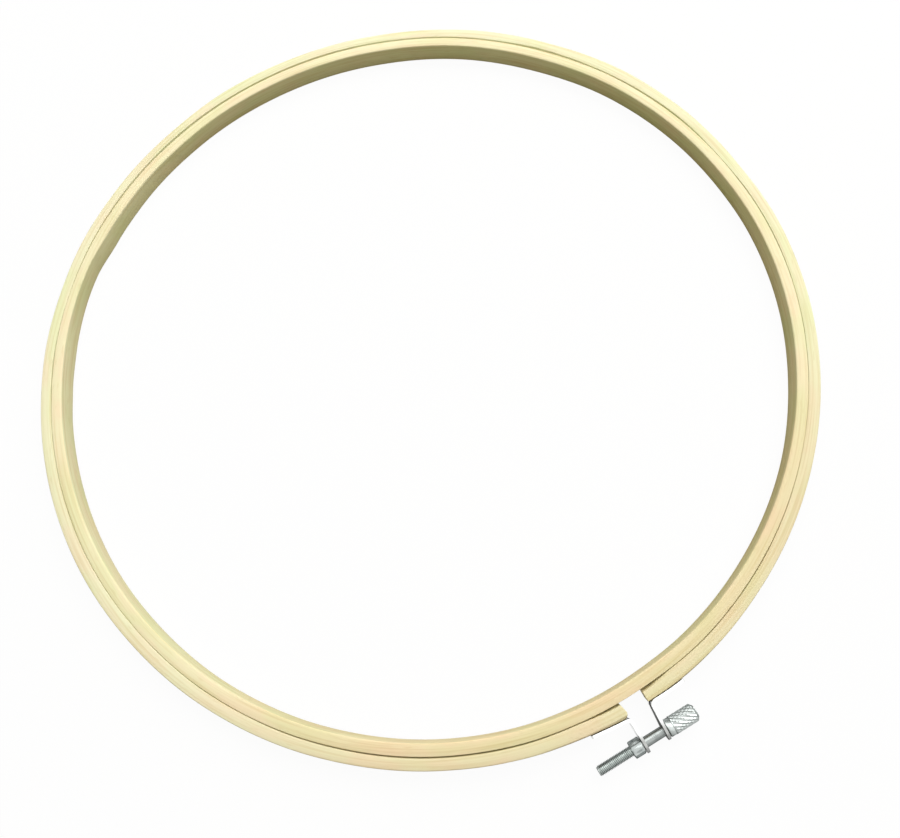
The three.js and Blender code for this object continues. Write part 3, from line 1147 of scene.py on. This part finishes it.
    def punch(self, bm: BMesh, length: float, painted_shade_end: float, brad_runs: Sequence[float]) -> None:
        """Punches the flat sheet: its length runs along X from the ear's round tip.

        Args:
            bm: the mesh that gets it.
            length: length of the flat sheet.
            painted_shade_end: distance from the tip at which the painted shade on the sheet's inner
                side ends.
            brad_runs: distances of the brads' holes from the tip.
        """
        half = self.width / 2.0
        corners = [bm.verts.new((x, y, 0.0))
                   for x, y in ((0.0, -half), (length, -half), (length, half), (0.0, half))]
        bm.faces.new(corners)
        rounded(bm, (corners[0], corners[3]), half * self.tip_fill, self.tip_segments, "VERTICES")
        rounded(bm, (corners[1], corners[2]), self.corner_round, self.corner_segments, "VERTICES")
        bmesh.ops.delete(bm, geom=bm.faces[:], context="FACES_ONLY")
        holes = [(half, self.hole_radius, self.hole_steps)]
        holes += [(run, self.brad_hole, self.brad_hole_steps) for run in brad_runs]
        for run, radius, steps in holes:
            bmesh.ops.create_circle(bm, segments=steps, radius=radius,
                                    matrix=Matrix.Translation((run, 0.0, 0.0)))
        bmesh.ops.triangle_fill(bm, edges=bm.edges[:], use_beauty=True, normal=Z_AXIS)
        raised = bmesh.ops.extrude_face_region(bm, geom=bm.faces[:])["geom"]
        bmesh.ops.translate(bm, verts=[item for item in raised if isinstance(item, BMVert)],
                            vec=Z_AXIS * self.thickness)
        bmesh.ops.recalc_face_normals(bm, faces=bm.faces[:])
        rims = [edge for edge in bm.edges if edge.is_manifold and edge.calc_face_angle() > CORNER]
        rounded(bm, rims, self.rim, self.rim_segments)
        bm.normal_update()
        # Painted shade: faces on the ear's split side and the bend's outer curve get the darker second
        # finish.
        for face in bm.faces:
            inside = face.normal.z < -self.level and face.calc_center_median().x < painted_shade_end
            face.material_index = 1 if inside else 0


@dataclass
class Brad:
    """A short domed brad through a bracket's leg into the wood.

    Args:
        bracket: the bracket that it holds.
        number: 1 for the outer brad, 2 for the one near the ear.
        head_radius: radius of the domed head.
        head_height: height of the head.
        rim_height: height of the head's upright rim, half of it eased.
        shank_radius: radius of the shank.
        shank_length: length under the head.
        point: length of the point.
        steps: facets round the brad.
        dome_steps: facets from the head's rim to its top.
    """

    bracket: Bracket
    number: int
    head_radius: float = 1.3 * MM
    head_height: float = 0.55 * MM
    rim_height: float = 0.11 * MM
    shank_radius: float = 0.6 * MM
    shank_length: float = 4.6 * MM
    point: float = 0.8 * MM
    steps: int = 32
    dome_steps: int = 8

    def build(self, palette: Palette) -> Object:
        """Turns the brad upright, then sets it into the leg.

        Args:
            palette: the finishes.

        Returns:
            The brad.
        """
        rim = self.rim_height
        profile = [(0.0, -self.shank_length), (self.shank_radius, self.point - self.shank_length),
                   (self.shank_radius, 0.0), (self.head_radius - rim / 2.0, 0.0),
                   (self.head_radius, rim / 2.0), (self.head_radius, rim)]
        for step in range(1, self.dome_steps + 1):
            angle = math.pi / 2.0 * step / self.dome_steps
            profile.append((self.head_radius * math.cos(angle),
                            rim + (self.head_height - rim) * math.sin(angle)))
        bm = bmesh.new()
        outline(bm, [(radius, 0.0, height) for radius, height in profile])
        spun(bm, self.steps)
        bracket, side = self.bracket, self.bracket.side
        angle = bracket.brad_angles()[self.number - 1]
        outward = Vector((side.value * math.sin(angle), -math.cos(angle), 0.0))
        seat = outward * (bracket.leg_radius + bracket.wood_out(angle) + bracket.thickness)
        seat += Vector((0.0, bracket.layout.centre_y, bracket.layout.middle))
        turn = Z_AXIS.rotation_difference(outward).to_matrix().to_4x4()
        bmesh.ops.transform(bm, verts=bm.verts[:], matrix=Matrix.Translation(seat) @ turn)
        name = f"{side.name.lower()}_brad_{self.number}"
        piece = placed(bm, f"{name}_pin", (palette.brad,))
        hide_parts(name)
        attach(piece, "right_clamp" if side is Side.RIGHT else "outer_hoop")
        return piece


@dataclass
class ThumbScrew:
    """The turned screw: threaded tail, plain shank, and a head with a collar and a knurl.

    Args:
        layout: where the hoop stands.
        shank_radius: radius of the plain shank.
        pitch: distance between two threads.
        crest: shares of the pitch between which the thread's crest lies.
        thread_depth: depth of the thread.
        thread_end: where the thread runs out into the plain shank.
        run_out: length over which it does.
        tail_chamfer: chamfer of the tail's end.
        turn_steps: facets round the thread.
        lap: how far the rod reaches into the head, and its hole is smaller than the rod.
        head_length: length of the head with its collar.
        collar_length: length of the plain collar.
        collar_inset: how far the collar lies under the knurl's ridges.
        collar_chamfer: chamfer of the collar's face.
        groove: width of the groove between the collar and the knurl.
        groove_depth: how far the groove lies under the ridges.
        groove_lead: length of the collar's slope into the groove.
        ridges: number of the knurl's main ridges.
        ridge_points: points round one of them.
        knurl_rows: facets along the knurl.
        knurl_angle: angle between the main ridges and the axis, in degrees.
        knurl_depth: depth of the grooves between the main ridges.
        knurl_power: how sharp the main ridges are.
        knurl_lead: length over which the knurl starts.
        cross_depth: depth of the finer grooves that cross them.
        cross_power: how narrow those grooves are.
        end_chamfer: how far the head is rounded down at its outer end.
        end_reach: share of that along the head over which it is.
        end_power: how full that rounding is.
        end_flat: how far the flat end lies inside it.
    """

    layout: HoopLayout
    shank_radius: float = 1.75 * MM
    pitch: float = 0.6 * MM
    crest: tuple[float, float] = (0.44, 0.56)
    thread_depth: float = 0.33 * MM
    thread_end: float = -3.2 * MM
    run_out: float = 0.9 * MM
    tail_chamfer: float = 0.5 * MM
    turn_steps: int = 36
    lap: float = 0.2 * MM
    head_length: float = 11.8 * MM
    collar_length: float = 2.1 * MM
    collar_inset: float = 0.15 * MM
    collar_chamfer: float = 0.3 * MM
    groove: float = 0.22 * MM
    groove_depth: float = 0.4 * MM
    groove_lead: float = 0.1 * MM
    ridges: int = 15
    ridge_points: int = 10
    knurl_rows: int = 76
    knurl_angle: float = 31.0
    knurl_depth: float = 0.3 * MM
    knurl_power: float = 0.8
    knurl_lead: float = 0.5 * MM
    cross_depth: float = 0.06 * MM
    cross_power: float = 2.0
    end_chamfer: float = 0.95 * MM
    end_reach: float = 1.15
    end_power: float = 1.2
    end_flat: float = 0.45 * MM
    low: Vector = field(init=False)
    high: Vector = field(init=False)

    def __post_init__(self) -> None:
        """Reads the solid's own size."""
        self.low, self.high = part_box("thumb_screw")

    @property
    def head_radius(self) -> float:
        """Radius of the head."""
        return (self.high.z - self.low.z) / 2.0

    @property
    def collar_x(self) -> float:
        """Place of the collar's face, beside the right ear."""
        return self.high.x - self.head_length

    @property
    def twist(self) -> float:
        """Angle that a main ridge turns per metre."""
        return math.tan(math.radians(self.knurl_angle)) / self.head_radius

    def build(self, palette: Palette) -> Object:
        """Builds the screw.

        Args:
            palette: the finishes.

        Returns:
            The screw.
        """
        bm = bmesh.new()
        self.rod(bm)
        self.head(bm)
        bmesh.ops.translate(bm, verts=bm.verts[:], vec=(0.0, self.layout.screw_y, self.layout.middle))
        piece = placed(bm, "thumb_screw_turned", (palette.screw,), sharp=28.0)
        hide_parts("thumb_screw")
        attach(piece, "screw")
        return piece

    def rod(self, bm: BMesh) -> None:
        """Sweeps one thread's profile along its helix, and fades it out into the shank.

        Args:
            bm: the mesh that gets the rod, on the X axis.
        """
        root = self.shank_radius - self.thread_depth
        start = self.low.x - self.pitch
        profile = ((0.0, root), *((share, self.shank_radius) for share in self.crest), (1.0, root))
        outline(bm, [(start + share * self.pitch, 0.0, radius) for share, radius in profile])
        turns = math.ceil((self.collar_x - start) / self.pitch) + 1
        bmesh.ops.spin(bm, geom=everything(bm), cent=ORIGIN, axis=X_AXIS,
                       dvec=X_AXIS * (self.pitch / self.turn_steps), angle=FULL_TURN * turns,
                       steps=self.turn_steps * turns)
        bmesh.ops.remove_doubles(bm, verts=bm.verts[:], dist=MERGE)
        for vert in bm.verts:
            radius = math.hypot(vert.co.y, vert.co.z)
            plain = smoothstep((vert.co.x - self.thread_end + self.run_out) / self.run_out)
            cone = self.shank_radius - self.tail_chamfer + max(vert.co.x - self.low.x, 0.0)
            set_radius(vert, min(mixed(radius, self.shank_radius, plain), cone))
        for place, normal in ((self.low.x, -X_AXIS), (self.collar_x + self.lap, X_AXIS)):
            cut_across(bm, place, plane_no=normal, dist=MERGE / 4.0, clear_outer=True)
        close_holes(bm)

    def head(self, bm: BMesh) -> None:
        """Turns the head's outline, then presses the knurl into it.

        Args:
            bm: the mesh that gets the head, on the X axis.
        """
        radius, twist = self.head_radius, self.twist
        start, end = self.collar_x, self.high.x
        collar, groove = radius - self.collar_inset, radius - self.groove_depth
        groove_start = start + self.collar_length
        knurl_start = groove_start + self.groove
        stations = [(start, self.shank_radius - self.lap), (start, collar - self.collar_chamfer),
                    (start + self.collar_chamfer, collar), (groove_start - self.groove_lead, collar),
                    (groove_start, groove), (knurl_start, groove)]
        stations += [(mixed(knurl_start, end, row / self.knurl_rows), radius)
                     for row in range(self.knurl_rows + 1)]
        stations.append((end, radius - self.end_chamfer - self.end_flat))

        def turned_to(place: float, size: float) -> Move:
            """Gives the move of a loop to its station, turned along with the main ridges."""
            return lambda point: on_circle(place, size, angle_round_x(point)
                                           + (place - point.x) * twist)

        rod = set(bm.verts)
        circle = bmesh.ops.create_circle(bm, segments=self.ridges * self.ridge_points, radius=1.0,
                                         matrix=FACING_X)["verts"]
        for vert in circle:
            vert.co = on_circle(*stations[0], angle_round_x(vert.co))
        loop = list(dict.fromkeys(edge for vert in circle for edge in vert.link_edges))
        for place, size in stations[1:]:
            loop = loop_at(bm, loop, turned_to(place, size))
        for vert in bm.verts:
            if vert not in rod:
                self.press_knurl(vert, knurl_start)
        close_holes(bm)

    def press_knurl(self, vert: BMVert, start: float) -> None:
        """Presses one point of the head down into the knurl's grooves and under its end's rounding.

        Args:
            vert: the point.
            start: where the knurl starts.
        """
        size = math.hypot(vert.co.y, vert.co.z)
        if vert.co.x < start - MERGE or size < self.head_radius - MERGE:
            return
        angle, turn = angle_round_x(vert.co), vert.co.x * self.twist
        main, cross = (0.5 - 0.5 * math.cos(self.ridges * (angle + way * turn)) for way in (-1, 1))
        pressed = (self.knurl_depth * main ** self.knurl_power
                   + self.cross_depth * cross ** self.cross_power)
        pressed *= smoothstep((vert.co.x - start) / self.knurl_lead)
        from_end = (self.high.x - vert.co.x) / (self.end_reach * self.end_chamfer)
        cone = self.head_radius - self.end_chamfer * smoothstep(1.0 - from_end) ** self.end_power
        set_radius(vert, min(self.head_radius - pressed, cone - 0.5 * pressed))


@dataclass
class ClampNut:
    """The hex nut, with its corners turned off at both faces.

    Args:
        layout: where the hoop stands.
        bore_radius: radius of the threaded bore.
        bore_chamfer: chamfer at both ends of the bore.
        chamfer_angle: angle of the turned corners, in degrees.
        face_inset: how far the round faces lie inside the flats.
        steps: points round the nut.
        side_steps: facets along a side.
        corner_wear: share that the hexagon's corners are worn down.
        crown: how far the middle of a flat stands out.
    """

    layout: HoopLayout
    bore_radius: float = 1.78 * MM
    bore_chamfer: float = 0.3 * MM
    chamfer_angle: float = 34.0
    face_inset: float = 0.3 * MM
    steps: int = 96
    side_steps: int = 6
    corner_wear: float = 0.985
    crown: float = 0.4 * MM
    low: Vector = field(init=False)
    high: Vector = field(init=False)

    def __post_init__(self) -> None:
        """Reads the solid's own size."""
        self.low, self.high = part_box("clamp_nut")

    @property
    def flat(self) -> float:
        """Distance of the flats from the screw's axis."""
        return (self.high.z - self.low.z) / 2.0

    def hex_radius(self, angle: float, share: float = 0.0) -> float:
        """Finds how far the slightly crowned flats reach.

        Args:
            angle: angle round the screw; two flats are level.
            share: place along the nut, 0 and 1 at its ends.

        Returns:
            The radius there.
        """
        sixth = math.pi / 3.0
        from_flat = (angle - math.pi / 2.0 + sixth / 2.0) % sixth - sixth / 2.0
        sides = (self.flat - self.crown) / math.cos(from_flat)
        crowned = self.crown * math.cos(3.0 * from_flat) ** 2 * (1.0 - (2.0 * share - 1.0) ** 2)
        return min(sides + crowned, self.corner_wear * self.flat / math.cos(sixth / 2.0))

    def ring(self, place: float, radius: float) -> Move:
        """Gives the move of a loop to a circle."""
        return lambda point: on_circle(place, radius, angle_round_x(point))

    def on_side(self, angle: float, share: float) -> Vector:
        """Finds a point on the six sides.

        Args:
            angle: angle round the screw.
            share: 0 beside the left face's turned corners, and 1 beside the right face's.

        Returns:
            The point.
        """
        slope = math.tan(math.radians(self.chamfer_angle))
        cut = (self.hex_radius(angle) - self.flat + self.face_inset) * slope
        place = mixed(self.low.x + cut, self.high.x - cut, share)
        return on_circle(place, self.hex_radius(angle, share), angle)

    def sides(self, share: float) -> Move:
        """Gives the move of a loop to its share of the way along the six sides."""
        return lambda point: self.on_side(angle_round_x(point), share)

    def build(self, palette: Palette) -> Object:
        """Builds the nut, loop by loop from its bore round both faces and back.

        Args:
            palette: the finishes.

        Returns:
            The nut.
        """
        left, right, bore = self.low.x, self.high.x, self.bore_radius
        face, mouth = self.flat - self.face_inset, bore + self.bore_chamfer
        inside = left + self.bore_chamfer
        bm = bmesh.new()
        bmesh.ops.create_circle(bm, segments=self.steps, radius=bore, matrix=FACING_X)
        for vert in bm.verts:
            vert.co = on_circle(inside, bore, angle_round_x(vert.co))
        loop = bm.edges[:]
        shares = (step / self.side_steps for step in range(self.side_steps + 1))
        for move in (self.ring(left, mouth), self.ring(left, face), *map(self.sides, shares),
                     self.ring(right, face), self.ring(right, mouth),
                     self.ring(right - self.bore_chamfer, bore), self.ring(inside, bore)):
            loop = loop_at(bm, loop, move)
        bmesh.ops.remove_doubles(bm, verts=bm.verts[:], dist=MERGE)
        bmesh.ops.translate(bm, verts=bm.verts[:], vec=(0.0, self.layout.screw_y, self.layout.middle))
        piece = placed(bm, "clamp_nut_hex", (palette.nut,), sharp=20.0)
        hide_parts("clamp_nut")
        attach(piece, "nut")
        return piece


@dataclass(frozen=True)
class Softbox:
    """A square studio lamp that points at the hoop's centre.

    Args:
        name: name of the lamp.
        azimuth: direction in which it stands, in degrees from +X.
        elevation: its height, in degrees over the floor.
        distance: distance from the hoop's centre, in metres.
        size: width of the lamp, in metres.
        power: power in watts.
    """

    name: str
    azimuth: float
    elevation: float
    distance: float
    size: float
    power: float

    def build(self, target: Vector) -> None:
        """Sets the lamp up.

        Args:
            target: the point that it faces.
        """
        lamp = bpy.data.lights.new(self.name, "AREA")
        lamp.energy = self.power
        lamp.size = self.size
        holder = bpy.data.objects.new(self.name, lamp)
        azimuth, elevation = math.radians(self.azimuth), math.radians(self.elevation)
        offset = Vector((math.cos(azimuth) * math.cos(elevation),
                         math.sin(azimuth) * math.cos(elevation), math.sin(elevation)))
        holder.location = target + offset * self.distance
        holder.rotation_euler = (-offset).to_track_quat("-Z", "Y").to_euler()
        bpy.context.scene.collection.objects.link(holder)


@dataclass
class Studio:
    """A white floor, a soft world and the lamps.

    Args:
        layout: where the hoop stands.
        floor_size: width of the floor.
        floor_drop: how far it lies under the hoop.
        paper: colour of the floor where the hoop's shadow shows on it.
        paper_roughness: its roughness.
        shown_white: how much of the floor's own white shows, against the light that falls on it.
        bounce: the warm tone of the light that the floor sends back to the hoop.
        fill: colour of the light from all round.
        fill_strength: its strength.
        lamps: the lamps.
    """

    layout: HoopLayout
    floor_size: float = 14.0
    floor_drop: float = 0.05 * MM
    paper: Colour = (0.86, 0.86, 0.86, 1.0)
    paper_roughness: float = 0.9
    shown_white: float = 0.95
    bounce: Colour = (0.4, 0.35, 0.2, 1.0)
    fill: Colour = (1.0, 0.93, 0.55, 1.0)
    fill_strength: float = 0.15
    lamps: tuple[Softbox, ...] = (
        Softbox("window", 30.0, 40.0, 1.9, 1.66, 32.4),
        Softbox("back_window", 80.0, 50.0, 1.9, 1.2, 10.4),
        Softbox("top_panel", 287.0, 78.0, 1.6, 2.2, 11.0),
    )

    def build(self) -> None:
        """Builds the floor, the world and the lamps."""
        self.build_floor()
        self.build_world()
        for lamp in self.lamps:
            lamp.build(Vector((0.0, self.layout.centre_y, 0.0)))

    def build_floor(self) -> None:
        """Lays the floor, which shows its own white and keeps the hoop's soft shadow."""
        bm = bmesh.new()
        bmesh.ops.create_grid(bm, x_segments=1, y_segments=1, size=self.floor_size / 2.0)
        bmesh.ops.translate(bm, verts=bm.verts[:], vec=(0.0, 0.0, -self.floor_drop))
        material = bpy.data.materials.new("floor_paper")
        sketch = NodeSketch(material)
        sketch.feed(sketch.shader, {"Base Color": self.paper, "Roughness": self.paper_roughness,
                                    "Specular IOR Level": 0.0})
        bounce = sketch.add("ShaderNodeBsdfDiffuse", {"Color": self.bounce})
        glow = sketch.add("ShaderNodeEmission")
        sketch.show(bounce, sketch.mix_shaders(self.shown_white, sketch.shader, glow))
        floor = placed(bm, "floor", (material,))

    def build_world(self) -> None:
        """Sets the light from all round, which looks white where it is seen."""
        world = bpy.data.worlds.new("soft_world")
        sketch = NodeSketch(world)
        sketch.feed(sketch.shader, {"Color": self.fill, "Strength": self.fill_strength})
        sketch.show(sketch.shader, sketch.add("ShaderNodeBackground", {"Color": WHITE}))
        bpy.context.scene.world = world


@dataclass(frozen=True)
class ViewCamera:
    """The camera, as it was solved from the rings' edges in the photograph.

    Args:
        location: where it stands.
        target: the point on the rings' mid plane that it faces.
        roll: its turn about its own view, in degrees.
        focal_pixels: focal length, in the image's pixels.
        image_width: width of the image, in pixels.
        clip: distances between which it sees, in metres.
    """

    location: tuple[float, float, float] = (-26.777 * MM, -93.693 * MM, 264.366 * MM)
    target: tuple[float, float, float] = (-4.198 * MM, -24.471 * MM, 4.0 * MM)
    roll: float = -12.0234
    focal_pixels: float = 689.2
    image_width: int = 900
    clip: tuple[float, float] = (0.01, 50.0)

    def build(self) -> None:
        """Sets the camera up."""
        lens = bpy.data.cameras.new("view")
        lens.lens = lens.sensor_width * self.focal_pixels / self.image_width
        lens.clip_start, lens.clip_end = self.clip
        holder = bpy.data.objects.new("view", lens)
        holder.location = self.location
        aim = (Vector(self.target) - Vector(self.location)).to_track_quat("-Z", "Y")
        holder.rotation_mode = "QUATERNION"
        holder.rotation_quaternion = aim @ Quaternion(Z_AXIS, math.radians(self.roll))
        bpy.context.scene.collection.objects.link(holder)
        bpy.context.scene.camera = holder


def write_sizes() -> None:
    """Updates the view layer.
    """
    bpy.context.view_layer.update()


def main() -> None:
    """Builds the studio and every piece of the hoop, in order."""
    logging.basicConfig(level=logging.INFO, format="%(message)s")
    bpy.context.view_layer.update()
    bpy.context.scene.view_settings.view_transform = "Standard"
    layout = HoopLayout.from_frame()
    ViewCamera().build()
    Studio(layout).build()
    palette = Palette.mixed_for(layout)
    pieces = [part(layout).build(palette) for part in (InnerRing, OuterRing, ThumbScrew, ClampNut)]
    for side in Side:
        bracket = Bracket(layout, side)
        pieces.append(bracket.build(palette))
        pieces += [Brad(bracket, number).build(palette) for number in (1, 2)]
    log.info("%d pieces", len(pieces))
    write_sizes()


if __name__ == "__main__":
    main()
